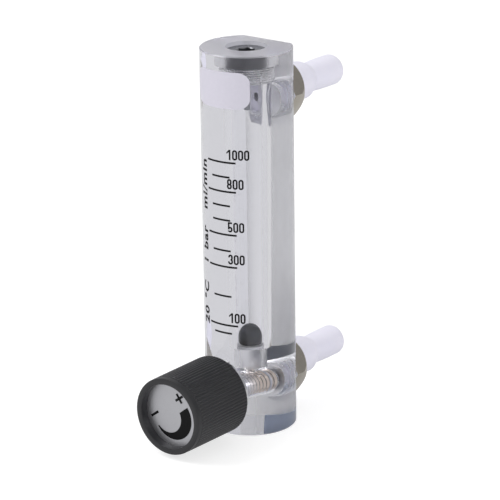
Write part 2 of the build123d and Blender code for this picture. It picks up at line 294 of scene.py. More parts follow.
def within(value, start, end, blend):
    """Formula that is 1 between start and end and falls to 0 over the blend."""
    rise = ("DIVIDE", ("SUBTRACT", value, start), blend)
    fall = ("DIVIDE", ("SUBTRACT", end, value), blend)
    return ("MINIMUM", ("MAXIMUM", ("MINIMUM", rise, fall), 0.0), 1.0)


def close_tree(tree, geometry, entry, leave):
    """Last nodes of every rule: real geometry with its material set."""
    real = add_node(tree, "GeometryNodeRealizeInstances", [("Geometry", geometry)])
    paint = add_node(tree, "GeometryNodeSetMaterial", [("Geometry", real.outputs[0]),
                                                       ("Material", entry.outputs["Material"])])
    tree.links.new(paint.outputs[0], leave.inputs[0])


def move_radially(tree, entry, along, across, offset):
    """Moves each point towards or from an axis through a level; across are its two other parts."""
    position = add_node(tree, "GeometryNodeInputPosition")
    split = add_node(tree, "ShaderNodeSeparateXYZ", [(0, position.outputs[0])])
    one = split.outputs[across[0]]
    two = split.outputs[across[1]]
    if "Z" in across:
        two = formula(tree, ("SUBTRACT", two, entry.outputs["Level"]))
    reach = ("SQRT", ("ADD", ("MULTIPLY", one, one), ("MULTIPLY", two, two)))
    radius = formula(tree, ("MAXIMUM", reach, 1e-6))
    shift = formula(tree, offset(split.outputs[along], one, two, radius))
    share = formula(tree, ("DIVIDE", shift, radius))
    join = add_node(tree, "ShaderNodeCombineXYZ", [(across[0], formula(tree, ("MULTIPLY", one, share))),
                                                   (across[1], formula(tree, ("MULTIPLY", two, share)))])
    moved = add_node(tree, "GeometryNodeSetPosition", [("Geometry", entry.outputs["Geometry"]),
                                                       ("Offset", join.outputs[0])])
    return moved.outputs[0]


THREAD_INPUTS = [("Level", "NodeSocketFloat"), ("Start", "NodeSocketFloat"), ("End", "NodeSocketFloat"),
                 ("Pitch", "NodeSocketFloat"), ("Depth", "NodeSocketFloat"), ("Reach", "NodeSocketFloat"),
                 ("Material", "NodeSocketMaterial")]


def thread_tree(name, along, across):
    """Rule for screw ridges: points beyond the reach radius rise and fall by the depth once a pitch."""
    tree, entry, leave = rule_tree(name, THREAD_INPUTS)
    inputs = entry.outputs

    def offset(value, one, two, radius):
        turns = ("DIVIDE", ("SUBTRACT", value, inputs["Start"]), inputs["Pitch"])
        wave = ("PINGPONG", ("MULTIPLY", turns, 2.0), 1.0)
        zone = within(value, inputs["Start"], inputs["End"], 1e-6)
        skin = ("GREATER_THAN", radius, inputs["Reach"])
        return ("MULTIPLY", ("MULTIPLY", ("MULTIPLY", wave, inputs["Depth"]), zone), skin)

    close_tree(tree, move_radially(tree, entry, along, across, offset), entry, leave)
    return tree


RIDGE_INPUTS = [("Level", "NodeSocketFloat"), ("Start", "NodeSocketFloat"), ("End", "NodeSocketFloat"),
                ("Ridges", "NodeSocketInt"), ("Depth", "NodeSocketFloat"), ("Fade", "NodeSocketFloat"),
                ("Reach", "NodeSocketFloat"), ("Material", "NodeSocketMaterial")]


def ridge_tree(name):
    """Rule for a knob's grip: even grooves along its side between two places, fading at both ends."""
    tree, entry, leave = rule_tree(name, RIDGE_INPUTS)
    inputs = entry.outputs

    def offset(value, one, two, radius):
        wave = ("COSINE", ("MULTIPLY", ("ARCTAN2", two, one), inputs["Ridges"]))
        # the power widens the crests and narrows the grooves
        groove = ("POWER", ("MULTIPLY", ("SUBTRACT", 1.0, wave), 0.5), 1.6)
        zone = within(value, inputs["Start"], inputs["End"], inputs["Fade"])
        skin = ("GREATER_THAN", radius, inputs["Reach"])
        depth = ("MULTIPLY", ("MULTIPLY", groove, zone), inputs["Depth"])
        return ("MULTIPLY", ("MULTIPLY", depth, skin), -1.0)

    close_tree(tree, move_radially(tree, entry, "Y", ("X", "Z"), offset), entry, leave)
    return tree


def apply_rule(obj, tree, **values):
    """Runs a geometry rule on an object with its named inputs in metres and keeps the plain mesh."""
    modifier = obj.modifiers.new(tree.name, "NODES")
    modifier.node_group = tree
    for item in tree.interface.items_tree:
        if item.in_out == "INPUT" and item.name in values:
            modifier[item.identifier] = values[item.name]
    return bake(obj)


def threaded(obj, axis, level, start, end, pitch, depth, reach, material):
    """Cuts or raises screw ridges between two places of a turned piece."""
    name = "screw ridges along " + axis
    tree = bpy.data.node_groups.get(name)
    if tree is None:
        across = ("X", "Z") if axis == "Y" else ("X", "Y")
        tree = thread_tree(name, axis, across)
    return apply_rule(obj, tree, Level=level * MM, Start=start * MM, End=end * MM, Pitch=pitch * MM,
                      Depth=depth * MM, Reach=reach * MM, Material=material)


# Materials


MATERIALS = {}


def new_material(name):
    """Material with an empty Principled surface; returns the material, its tree and the shader."""
    material = bpy.data.materials.new(name)
    material.use_nodes = True
    tree = material.node_tree
    tree.nodes.clear()
    shader = add_node(tree, "ShaderNodeBsdfPrincipled")
    add_node(tree, "ShaderNodeOutputMaterial", [("Surface", shader.outputs[0])])
    return material, tree, shader


def spots(tree, size, detail=3.0, stretch=(1.0, 1.0, 1.0)):
    """Noise on the piece's own coordinates whose features are about a size in millimetres across."""
    where = add_node(tree, "ShaderNodeTexCoord")
    scaled = add_node(tree, "ShaderNodeMapping", [("Vector", where.outputs["Object"])], Scale=stretch)
    noise = add_node(tree, "ShaderNodeTexNoise", [("Vector", scaled.outputs[0])], Scale=1 / (size * MM),
                     Detail=detail)
    return noise.outputs[0]


def vary(tree, shader, pattern, colours=None, rough=None, depth=None):
    """Lets a pattern move a surface between two hex colours or two roughnesses, or lift it in millimetres."""
    if colours:
        dark, light = colours
        tint = add_node(tree, "ShaderNodeMix", [("Factor", pattern), (6, linear(dark)), (7, linear(light))],
                        data_type="RGBA")
        tree.links.new(tint.outputs[2], shader.inputs["Base Color"])
    if rough:
        wear = add_node(tree, "ShaderNodeMapRange", [("Value", pattern)], To_Min=rough[0], To_Max=rough[1])
        tree.links.new(wear.outputs[0], shader.inputs["Roughness"])
    if depth is not None:
        relief = add_node(tree, "ShaderNodeBump", [("Height", pattern)], Strength=1.0, Distance=depth * MM)
        tree.links.new(relief.outputs[0], shader.inputs["Normal"])


def acrylic(name, rough, clear, dark, light):
    """Cast acrylic with one finish; what isn't clear scatters, as a frosted face does."""
    material, tree, shader = new_material(name)
    vary(tree, shader, spots(tree, 6.0, 2.0, (1.0, 1.0, 0.12)), (dark, light))
    shader.inputs["Transmission Weight"].default_value = clear
    shader.inputs["Roughness"].default_value = rough
    shader.inputs["IOR"].default_value = 1.49
    return material


def metal(name, dark, light, rough, fine=0.3, stretch=(1.0, 1.0, 1.0), depth=0.004):
    """Metal with fine grain: colour and roughness vary a little with the grain."""
    material, tree, shader = new_material(name)
    vary(tree, shader, spots(tree, fine, 4.0, stretch), (dark, light), rough, depth)
    shader.inputs["Metallic"].default_value = 1.0
    return material


def plastic(name, dark, light, rough, size=0.4, depth=0.01, gloss=0.5):
    """Plastic, rubber, film or ink: fine surface grain in colour, gloss and relief."""
    material, tree, shader = new_material(name)
    vary(tree, shader, spots(tree, size), (dark, light), rough, depth)
    shader.inputs["Specular IOR Level"].default_value = gloss
    return material


def thread_nickel_painted_shade():
    """Nickel plate on the cartridge's screw, warm where the plate is thin; its thread roots are darkened by
    painted shade, and its crests keep the plate's colour.
    """
    root_radius = 3.36
    crest_radius = 3.46
    thin_from = -6.0
    thin_to = -1.0
    material, tree, shader = new_material("nickel plated brass screw, painted root shade")
    where = add_node(tree, "ShaderNodeTexCoord")
    spot = add_node(tree, "ShaderNodeSeparateXYZ", [("Vector", where.outputs["Object"])])
    x, y, z = spot.outputs
    high = formula(tree, ("SUBTRACT", z, VALVE_LEVEL * MM))
    radius = formula(tree, ("SQRT", ("ADD", ("MULTIPLY", x, x), ("MULTIPLY", high, high))))
    painted_shade_mask = add_node(tree, "ShaderNodeMapRange", [("Value", radius)], From_Min=root_radius * MM,
                     From_Max=crest_radius * MM)
    thin = add_node(tree, "ShaderNodeMapRange", [("Value", y)], From_Min=thin_from * MM,
                    From_Max=thin_to * MM)
    plate = add_node(tree, "ShaderNodeMix", [("Factor", thin.outputs[0]), (6, linear("DCDCE0")),
                                             (7, linear("E2D4C6"))], data_type="RGBA")
    # painted shade: near black in the thread roots, rising to the plate's own colour at the crests
    shade = add_node(tree, "ShaderNodeMix", [("Factor", painted_shade_mask.outputs[0]), (6, linear("2A2A2E")),
                                             (7, linear("FFFFFF"))], data_type="RGBA")
    colour = add_node(tree, "ShaderNodeMix", [("Factor", 1.0), (6, shade.outputs[2]), (7, plate.outputs[2])],
                      data_type="RGBA", blend_type="MULTIPLY")
    tree.links.new(colour.outputs[2], shader.inputs["Base Color"])
    shader.inputs["Metallic"].default_value = 1.0
    shader.inputs["Roughness"].default_value = 0.3
    return material


def white_nylon(colour):
    """Turned white nylon: a soft sheen, and turning marks drawn coarse enough to show round the barrel."""
    material, tree, shader = new_material("white nylon, turned")
    vary(tree, shader, spots(tree, 3.0), (colour, raised(colour, 8)))
    vary(tree, shader, spots(tree, 0.25, 2.0, (0.15, 1.0, 0.15)), rough=(0.36, 0.5), depth=0.008)
    shader.inputs["Subsurface Weight"].default_value = 0.15
    shader.inputs["Subsurface Radius"].default_value = (1.0, 1.0, 1.0)
    shader.inputs["Subsurface Scale"].default_value = 1.5 * MM
    return material


class MeterColours(bpy.types.PropertyGroup):
    """Colours of the opaque pieces that could be ordered otherwise, as sRGB hex codes."""
    knob: StringProperty(name="Knob", description="Moulded knob with its grip", default="1A1A1D")
    nozzles: StringProperty(name="Nozzles", description="Turned hose nozzles", default="EDEBFB")
    film: StringProperty(name="Label film", description="Blank film round the bar's upper front",
                         default="CDCAD5")


class METER_OT_finishes(bpy.types.Operator):
    """Makes the finishes that the pieces wear"""
    bl_idname = "meter.finishes"
    bl_label = "Finishes"

    def execute(self, context):
        colours = context.scene.meter_colours
        MATERIALS.update({
            # turned and polished outside: clear as glass, with a faint cool cast
            "clear_acrylic": acrylic("clear cast acrylic, turned and polished", 0.0, 1.0, "EAEAF0", "EEEEF4"),
            # reamed taper and valve hole: clear, but what stands behind looks a little soft
            "reamed_acrylic": acrylic("clear cast acrylic, reamed", 0.05, 1.0, "FAFAFE", "FFFFFF"),
            # milled back flat and tapped stem holes: frosted, so light passes and shapes don't
            "milled_acrylic": acrylic("clear cast acrylic, milled and tapped", 0.5, 1.0, "FAFAFE", "FFFFFF"),
            # drilled riser: frosted like them, so the shaft under the float looks pale
            "drilled_acrylic": acrylic("clear cast acrylic, drilled", 0.5, 1.0, "FAFAFE", "FFFFFF"),
            # sawn top end, only sanded: milky
            "sawn_acrylic": acrylic("clear cast acrylic, sawn and sanded", 0.3, 0.8, "F2F0FA", "F8F6FE"),
            # bored pocket for the plug's head: dull, and tinted darker as painted shade in the pocket
            "bored_acrylic_painted_shade": acrylic("clear cast acrylic, bored, with painted shade", 0.35, 0.85, "B8B8C2", "C0C0CA"),
            "white_nylon": white_nylon(colours.nozzles),
            # painted reflection: each nut's rear face is made pale and matt where its plate would mirror
            # bright light, seen through the flat
            "painted_light_rear_face": plastic("nut rear face, pale painted light", "D8D8E2", "E4E4EC", (0.5, 0.6)),
            # painted shade on the foot: a matt blue-grey sheet with soft clouds, for the nut's shaded
            # underside seen through the flat
            "foot_painted_shade": plastic("blue-grey painted shade on the foot", "9AA8C2", "A6B4CE", (0.5, 0.6), 2.0),
            # painted shade: a slate sheet against the flat where the inlet's nut meets it, matt and a little
            # uneven
            "painted_shade_patch": plastic("slate patch of painted shade", "6C707C", "747884", (0.5, 0.6), 1.5),
            "thread_nickel_painted_shade": thread_nickel_painted_shade(),
            # bright plate on the cartridge's flange: pale with clear highlights
            "bright_nickel": metal("bright nickel plate", "C9C9CD", "DEDEE2", (0.2, 0.3)),
            # dull plate on brass nuts and lock ring: warm grey with broad highlights
            "nickel_plate": metal("dull nickel plate", "989288", "C0BAB0", (0.2, 0.3)),
            # darkened steel float: near black and even, with a low sheen; on the plug's head side the same
            # finish is painted shade
            "dark_steel_and_painted_shade": metal("turned steel, oxide darkened", "303138", "3A3B42", (0.4, 0.5), 3.0,
                                depth=0.0),
            # turned steel: mid grey, its turning marks drawn coarse enough to show
            "stainless": metal("turned stainless steel", "76777C", "9C9DA2", (0.22, 0.34),
                               stretch=(1.0, 1.0, 8.0)),
            # anodised disc: even satin silver that mirrors nothing clearly
            "satin_disc": metal("satin anodised aluminium", "B4B4B8", "C8C8CC", (0.36, 0.46), 0.15),
            # nitrile rubber: black with hardly any sheen
            "seal_rubber": plastic("moulded nitrile rubber", "121316", "1E2024", (0.5, 0.65)),
            # silicone rubber: pale and soft
            "silicone": plastic("moulded translucent silicone", "D4D4DC", "E0E0E8", (0.4, 0.5)),
            # acetal: white with a faint sheen
            "seat_polymer": plastic("turned white acetal", "D8D8DA", "E6E6E8", (0.35, 0.45)),
            # ABS: black with a satin sheen and a fine moulded grain
            "black_abs": plastic("moulded black ABS, satin", colours.knob, raised(colours.knob, 8),
                                 (0.34, 0.44), 0.25, 0.006),
            # screen ink: flat black that reflects almost nothing
            "black_ink": plastic("screen printed black ink", "060607", "0C0C0E", (0.5, 0.6), 0.15, 0.003,
                                 0.15),
            # label film: silver-white and even
            "label_film": plastic("blank silver-white label film", colours.film, raised(colours.film, 6),
                                  (0.42, 0.5), 1.0, 0.003),
        })
        return {"FINISHED"}


# Acrylic bar


def bar_blank(segments):
    """The turned bar with its milled back flat and small chamfers at both ends."""
    bm = bmesh.new()
    edge = 0.3
    rings = []
    for level, radius in ((0.0, BAR_RADIUS - edge), (edge, BAR_RADIUS), (BAR_TOP - edge, BAR_RADIUS),
                          (BAR_TOP, BAR_RADIUS - edge)):
        limit = math.pi - math.acos(BACK_FLAT / radius)
        ring = []
        for i in range(segments + 1):
            angle = -limit + 2 * limit * i / segments
            spot = Vector((radius * math.sin(angle), -radius * math.cos(angle), level))
            ring.append(bm.verts.new(spot * MM))
        rings.append(ring)
    polished, milled, sawn = range(3)
    count = segments + 1
    for one, two in zip(rings, rings[1:]):
        for i in range(count):
            j = (i + 1) % count
            face = bm.faces.new((one[i], one[j], two[j], two[i]))
            face.material_index = milled if j == 0 else sawn if two is rings[-1] else polished
    bm.faces.new(reversed(rings[0]))
    bm.faces.new(rings[-1]).material_index = sawn
    bar = solid_object("acrylic_bar", bm)
    for finish in ("clear_acrylic", "milled_acrylic", "sawn_acrylic"):
        bar.data.materials.append(MATERIALS[finish])
    return bar


class MeterBar(bpy.types.PropertyGroup):
    """Numbers of the acrylic bar."""
    segments: IntProperty(name="Segments", description="Facets round the bar", default=720, min=64)
    valve_thread: FloatProperty(name="Valve thread pitch", description="Pitch of the tapped valve hole",
                                default=1.0 * MM, unit="LENGTH")
    thread_depth: FloatProperty(name="Thread depth", description="Depth of the tapped grooves",
                                default=0.5 * MM, unit="LENGTH")
    plug_pitch: FloatProperty(name="Plug thread pitch", description="Pitch of the plug's fine thread",
                              default=0.6 * MM, unit="LENGTH")
    plug_depth: FloatProperty(name="Plug thread depth", description="Depth of the plug's fine thread",
                              default=0.25 * MM, unit="LENGTH")


class METER_OT_bar(bpy.types.Operator):
    """Builds the clear bar with its bores and tapped holes, and a blue-grey sheet of painted shade on its
    foot
    """
    bl_idname = "meter.bar"
    bl_label = "Acrylic bar"

    def execute(self, context):
        values = context.scene.meter_bar
        pitch = values.valve_thread / MM
        depth = values.thread_depth / MM
        bar = bar_blank(values.segments)
        self.gas_way(bar)
        self.plug_hole(bar, values.plug_pitch / MM, values.plug_depth / MM)
        self.valve_hole(bar, pitch, depth)
        for level in (VALVE_LEVEL, OUTLET_LEVEL):
            self.stem_hole(bar, level, pitch, depth)
        smooth(bar, 20)
        place(bar, "root", "clear_acrylic", "tube_body")
        self.foot_painted_shade()
        return {"FINISHED"}

    def gas_way(self, bar):
        """Riser from the valve with its wide part under the seat, then the reamed taper."""
        bottom = 16.0
        step = 17.4
        seat = 23.3
        top = 98.9
        drill = 1.2
        wide = 2.98
        taper_foot = 3.84
        taper_top = 4.36
        riser = [(bottom, 0), (bottom, drill), (step, drill), (step, wide), (seat, wide), (seat, 0)]
        cut(bar, riser, 240, finish="drilled_acrylic")
        # the two cuts overlap a little, so that no skin is left between them
        start = seat - 0.1
        cut(bar, [(start, 0), (start, taper_foot), (top, taper_top), (top, 0)], 360, finish="reamed_acrylic")

    def plug_hole(self, bar, pitch, depth):
        """Tapped hole for the plug, and the pocket for its head."""
        start = 99.1
        shoulder = 103.3
        bottom = start - 0.3
        above = BAR_TOP + 1
        core = 4.7
        head = 5.7
        wall = [(level, PLUG_HOLE) for level in rows(start, shoulder, pitch / 2)]
        profile = [(bottom, 0), (bottom, core)] + wall + [(shoulder, head), (above, head), (above, 0)]
        hole = lathe("plug_hole", profile, 360)
        threaded(hole, "Z", 0.0, start, shoulder, pitch, depth, core, MATERIALS["milled_acrylic"])
        # the pocket's wall is tinted darker: painted shade
        part_finish(hole, "bored_acrylic_painted_shade", lambda spot: spot.z > shoulder + 0.01)
        combine(bar, hole, "DIFFERENCE")

    def valve_hole(self, bar, pitch, depth):
        """Flat pocket for the valve's flange, and the tapped hole behind it."""
        pocket = 9.3
        radius = 3.42
        core = 3.3
        end = THREAD_END + 0.2
        wall = [(y, radius) for y in rows(POCKET_FLOOR, THREAD_END, pitch / 2)]
        profile = [(POCKET_FRONT, 0), (POCKET_FRONT, pocket), (POCKET_FLOOR, pocket)] + wall + [
            (end, radius), (end, 0)]
        hole = lathe("valve_hole", profile, 288, "Y", VALVE_LEVEL)
        threaded(hole, "Y", VALVE_LEVEL, POCKET_FLOOR, THREAD_END, pitch, depth, core,
                 MATERIALS["reamed_acrylic"])
        combine(bar, hole, "DIFFERENCE")

    def stem_hole(self, bar, level, pitch, depth):
        """Drilled way from the bore, and the tapped hole for a nozzle's stem."""
        bottom = 4.1
        end = 10.6
        drill = 1.2
        core = 4.8
        wall = [(y, STEM_HOLE) for y in rows(bottom, end, pitch / 2)]
        profile = [(0.0, 0), (0.0, drill), (bottom, drill)] + wall + [(end, 0)]
        hole = lathe("stem_hole", profile, 288, "Y", level)
        threaded(hole, "Y", level, bottom + 1.0, end - 0.5, pitch, depth, core, MATERIALS["milled_acrylic"])
        combine(bar, hole, "DIFFERENCE")

    def foot_painted_shade(self):
        """Blue-grey sheet of painted shade on the right part of the foot; its face lies just inside the bar.
        """
        radius = 12.3
        straight_end = (-5.6, 9.35)
        under = -0.02
        inside = 0.03
        outline = []
        for degrees in range(-36, 50):
            angle = math.radians(degrees)
            outline.append((radius * math.cos(angle), radius * math.sin(angle)))
        outline.append(straight_end)
        bm = bmesh.new()
        rings = [[bm.verts.new(Vector((x, y, level)) * MM) for x, y in outline] for level in (under, inside)]
        for ring in rings:
            bm.faces.new(ring)
        for i in range(len(outline)):
            j = (i + 1) % len(outline)
            bm.faces.new((rings[0][i], rings[0][j], rings[1][j], rings[1][i]))
        film = solid_object("foot_painted_shade", bm)
        dress(film, MATERIALS["foot_painted_shade"])
        place(film, "root", "seal_rubber")


# Float and plug


class METER_OT_flow(bpy.types.Operator):
    """Builds the float, its stop pin, and the screw plug with its rubber ring"""
    bl_idname = "meter.flow"
    bl_label = "Float and plug"

    def execute(self, context):
        self.float_body()
        self.stop_pin()
        self.screw_plug(context.scene.meter_bar.plug_pitch / MM)
        self.plug_ring()
        return {"FINISHED"}

    def float_body(self):
        """Half a ball on a straight foot with a rounded edge."""
        foot, top, radius = upright("float")
        # how far up and how far in the edge's points lie
        edge = [(0.0, 0.85), (0.15, 0.55), (0.45, 0.22), (0.9, 0.02)]
        profile = [(foot, 0)] + [(foot + rise, radius - inset) for rise, inset in edge]
        body = lathe("float_ball", profile + quarter(top - radius, 0.0, radius, 24), 128)
        smooth(body, 35)
        dress(body, MATERIALS["dark_steel_and_painted_shade"])
        place(body, "float", "stainless", "float")

    def stop_pin(self):
        """Pin under the plug with a rounded lower end."""
        foot, top, radius = upright("float_stop_pin")
        pin = lathe("stop_pin", [(foot, 0), (foot, radius - 0.3), (foot + 0.1, radius - 0.1),
                                 (foot + 0.3, radius), (top, radius), (top, 0)], 64)
        smooth(pin, 35)
        dress(pin, MATERIALS["stainless"])
        place(pin, "root", "stainless", "float_stop_pin")

    def screw_plug(self, pitch):
        """Screw plug with a hexagon socket in its head and a hole for the pin in its foot."""
        foot, top, radius = upright("top_plug")
        shoulder = top - 2.65
        thread_foot = foot + 0.1
        thread_top = shoulder - 0.1
        thread = 4.62
        thread_end = 4.4
        flats = 4.4
        socket_depth = 2.6
        pin_hole = 0.92
        shank = [(level, thread) for level in rows(thread_foot, thread_top, pitch / 2)]
        plug = lathe("screw_plug", [(foot, 0), (foot, thread_end)] + shank + [
            (shoulder, thread), (shoulder, radius - 0.15), (shoulder + 0.15, radius), (top - 0.3, radius),
            (top - 0.08, radius - 0.1), (top, radius - 0.3), (top, 0)], 192)
        threaded(plug, "Z", 0.0, thread_foot, thread_top, pitch, 0.14, thread - 0.12, MATERIALS["stainless"])
        cut(plug, rod(top - socket_depth, top + 1, flats / math.sqrt(3)), 6)
        rim = 0.25
        bevel = [(top - rim, 0), (top - rim, flats / 2), (top + rim, flats / 2 + 2 * rim), (top + rim, 0)]
        cut(plug, bevel, 96)
        cut(plug, rod(foot - 1, foot + 3, pin_hole), 64)
        smooth(plug, 25)
        dress(plug, MATERIALS["stainless"])
        # painted shade: the head's side, sunk in its pocket, wears the near-black steel
        part_finish(plug, "dark_steel_and_painted_shade", lambda spot: math.hypot(spot.x, spot.y) > radius - 0.2)
        place(plug, "root", "stainless", "top_plug")

    def plug_ring(self):
        """Rubber ring under the plug's head, with its outer edges cut back."""
        foot, top, radius = upright("top_plug_seal")
        middle = (foot + top) / 2
        bulge = (top - foot) / 4
        section = [(foot, PLUG_HOLE), (foot, radius - 0.25), (middle - bulge, radius),
                   (middle + bulge, radius), (top, radius - 0.25), (top, PLUG_HOLE)]
        ring = lathe("plug_ring", section, 160, closed=True)
        smooth(ring, 50)
        dress(ring, MATERIALS["seal_rubber"])
        place(ring, "root", "seal_rubber", "top_plug_seal")


# Nozzles and nuts


class MeterPorts(bpy.types.PropertyGroup):
    """Numbers of the hose nozzles and their nuts."""
    flats: FloatProperty(name="Across flats", description="Width of the hexagon nuts", default=16.4 * MM,
                         unit="LENGTH")


class METER_OT_ports(bpy.types.Operator):
    """Builds the two hose nozzles, their hexagon nuts and a slate patch of painted shade at the inlet's nut
    """
    bl_idname = "meter.ports"
    bl_label = "Nozzles and nuts"

    def execute(self, context):
        flats = context.scene.meter_ports.flats / MM
        for side, level in (("inlet", VALVE_LEVEL), ("outlet", OUTLET_LEVEL)):
            self.nozzle(side, level)
            self.nut(side, level, flats)
            # a slate patch of painted shade on the flat behind the inlet's nut
            if side == "inlet":
                self.painted_shade_patch(lo("inlet_nut").y + NUT_GAP, flats)
        return {"FINISHED"}

    def nozzle(self, side, level):
        """One turned piece: screwed stem, straight collar, waist and hose end with a round tip."""
        node = side + "_nozzle"
        start = lo(node).y
        tip = hi(node).y
        collar = hi(side + "_nut").y
        thread_start = start + 0.5
        thread = 4.45
        pitch = 1.0
        tip_round = 2.0
        hose = 4.36
        bore = 2.1
        mouth = 1.2
        # how far past the nut, and the radius there
        steps = [(0.0, 4.9), (0.0, 5.3), (0.06, 5.35), (8.0, 5.35), (8.3, 5.28), (10.4, 4.2), (10.8, 4.12),
                 (11.4, 4.12), (15.2, 4.3), (18.2, hose)]
        stem = [(y, thread) for y in rows(thread_start, BACK_FLAT, pitch / 2)]
        outside = [(collar + past, radius) for past, radius in steps]
        profile = [(start, mouth), (start, 4.1), (start + 0.4, thread)] + stem + outside
        profile += quarter(tip - tip_round, hose - tip_round, tip_round, 8)
        profile += [(tip - 0.1, bore + 0.1), (tip - 0.4, bore), (start + 2.0, bore), (start + 1.0, mouth)]
        nozzle = lathe(node + "_piece", profile, 192, "Y", level, closed=True)
        threaded(nozzle, "Y", level, thread_start, BACK_FLAT, pitch, 0.45, thread - 0.15,
                 MATERIALS["white_nylon"])
        smooth(nozzle, 30)
        dress(nozzle, MATERIALS["white_nylon"])
        place(nozzle, "root", "white_nylon", node)

    def nut(self, side, level, flats):
        """Hexagon nut with a turned cone at its outer end; its rear face against the bar is painted pale, as
        a painted reflection.
        """
        near = lo(side + "_nut").y + NUT_GAP
        far = hi(side + "_nut").y
        corner = flats / math.sqrt(3)
        clear = corner + 0.02
        cone_start = far - 3.2
        bend = far - 1.3
        bend_radius = 8.8
        face_radius = 7.9
        nut = lathe(side + "_hex_nut", rod(near, far, corner), 6, "Y", level)
        cone = lathe("cone", [(near, 0), (near, clear), (cone_start, clear), (bend, bend_radius),
                              (far, face_radius), (far, 0)], 192, "Y", level)
        combine(nut, cone, "INTERSECT")
        cut(nut, rod(near - 1, far + 1, STEM_HOLE), 96, "Y", level)
        soft_edges(nut, 0.12, 2, 25)
        smooth(nut, 30)
        dress(nut, MATERIALS["nickel_plate"])
        # painted reflection: the rear face against the flat is coloured pale
        part_finish(nut, "painted_light_rear_face", lambda spot: spot.y < near + 0.02)
        place(nut, "root", "nickel_plate", side + "_nut")

    def painted_shade_patch(self, near, flats):
        """Slate sheet of painted shade on the bar's flat between the stem's hole and the nut's top edge,
        where the nut shades the flat.
        """
        level = VALVE_LEVEL
        rear = near - 0.005
        front = near - 0.06
        lower_edge = level + 2.5
        film = lathe("inlet_painted_shade_patch", rod(front, rear, flats / math.sqrt(3)), 6, "Y", level)
        cut(film, rod(near - 1, near + 1, 5.0), 96, "Y", level)
        cut(film, rod(level - 12, lower_edge, 20), 64)
        dress(film, MATERIALS["painted_shade_patch"])
        place(film, "root", "seal_rubber")


# Valve


class METER_OT_valve(bpy.types.Operator):
    """Builds the plated brass cartridge and its lock ring"""
    bl_idname = "meter.valve"
    bl_label = "Valve"

    def execute(self, context):
        values = context.scene.meter_bar
        self.cartridge(values.valve_thread / MM, values.thread_depth / MM)
        self.lock_ring()
        return {"FINISHED"}

    def cartridge(self, pitch, depth):
        """Neck, flange and screw in one piece, bored for the spindle and the gas."""
        front = lo("valve_cartridge").y
        inner = hi("valve_cartridge").y
        edge = 0.2
        neck = 5.0
        flange = 8.8
        root = 3.3
        spindle_bore = 2.5
        chamber = 1.4
        chamber_front = -2.0
        chamber_rear = 1.6
        needle_seat = 0.62
        wall = [(y, root) for y in rows(POCKET_FLOOR, THREAD_END, pitch / 2)]
        outside = [(front, spindle_bore), (front, neck - edge), (front + edge, neck), (POCKET_FRONT, neck),
                   (POCKET_FRONT, flange - edge), (POCKET_FRONT + edge, flange), (POCKET_FLOOR - 0.1, flange),
                   (POCKET_FLOOR, flange - 0.1)]
        inside = [(inner, needle_seat), (chamber_rear, needle_seat), (chamber_rear, chamber),
                  (chamber_front, chamber), (chamber_front, spindle_bore)]
        body = lathe("cartridge_body", outside + wall + inside, 192, "Y", VALVE_LEVEL, closed=True)
        threaded(body, "Y", VALVE_LEVEL, POCKET_FLOOR, THREAD_END, pitch, depth, root - 0.1,
                 MATERIALS["bright_nickel"])
        # the cross hole leads the gas up into the riser
        cross = lathe("cross", rod(VALVE_LEVEL, VALVE_LEVEL + 5, 0.6), 48)
        cross.data.transform(Matrix.Translation((0, -0.4 * MM, 0)))
        combine(body, cross, "DIFFERENCE")
        smooth(body, 25)
        dress(body, MATERIALS["bright_nickel"])
        # the screw's faces wear the plate, with painted shade in its thread roots
        part_finish(body, "thread_nickel_painted_shade", lambda spot: spot.y > POCKET_FLOOR + 0.01)
        place(body, "root", "brass", "valve_cartridge")

    def lock_ring(self):
        """Plated ring in front of the flange, with its outer edges rounded."""
        front = lo("valve_lock_ring").y
        rear = hi("valve_lock_ring").y
        inside = 5.04
        # how far along and how far in the edge's points lie
        edge = [(0.0, 8.5), (0.08, 8.7), (0.3, 8.8)]
        profile = [(front, inside)] + [(front + along, radius) for along, radius in edge]
        profile += [(rear - along, radius) for along, radius in reversed(edge)] + [(rear, inside)]
        ring = lathe("lock_ring_piece", profile, 192, "Y", VALVE_LEVEL, closed=True)
        smooth(ring, 30)
        dress(ring, MATERIALS["nickel_plate"])
        place(ring, "root", "nickel_plate", "valve_lock_ring")


# Knob


class MeterKnob(bpy.types.PropertyGroup):
    """Numbers of the knob's grip."""
    ridges: IntProperty(name="Ridges", description="Ridges round the grip", default=75, min=3)
    depth: FloatProperty(name="Ridge depth", description="Depth of the grooves", default=0.32 * MM,
                         unit="LENGTH")
    samples: IntProperty(name="Samples", description="Facets for each ridge", default=10, min=4)


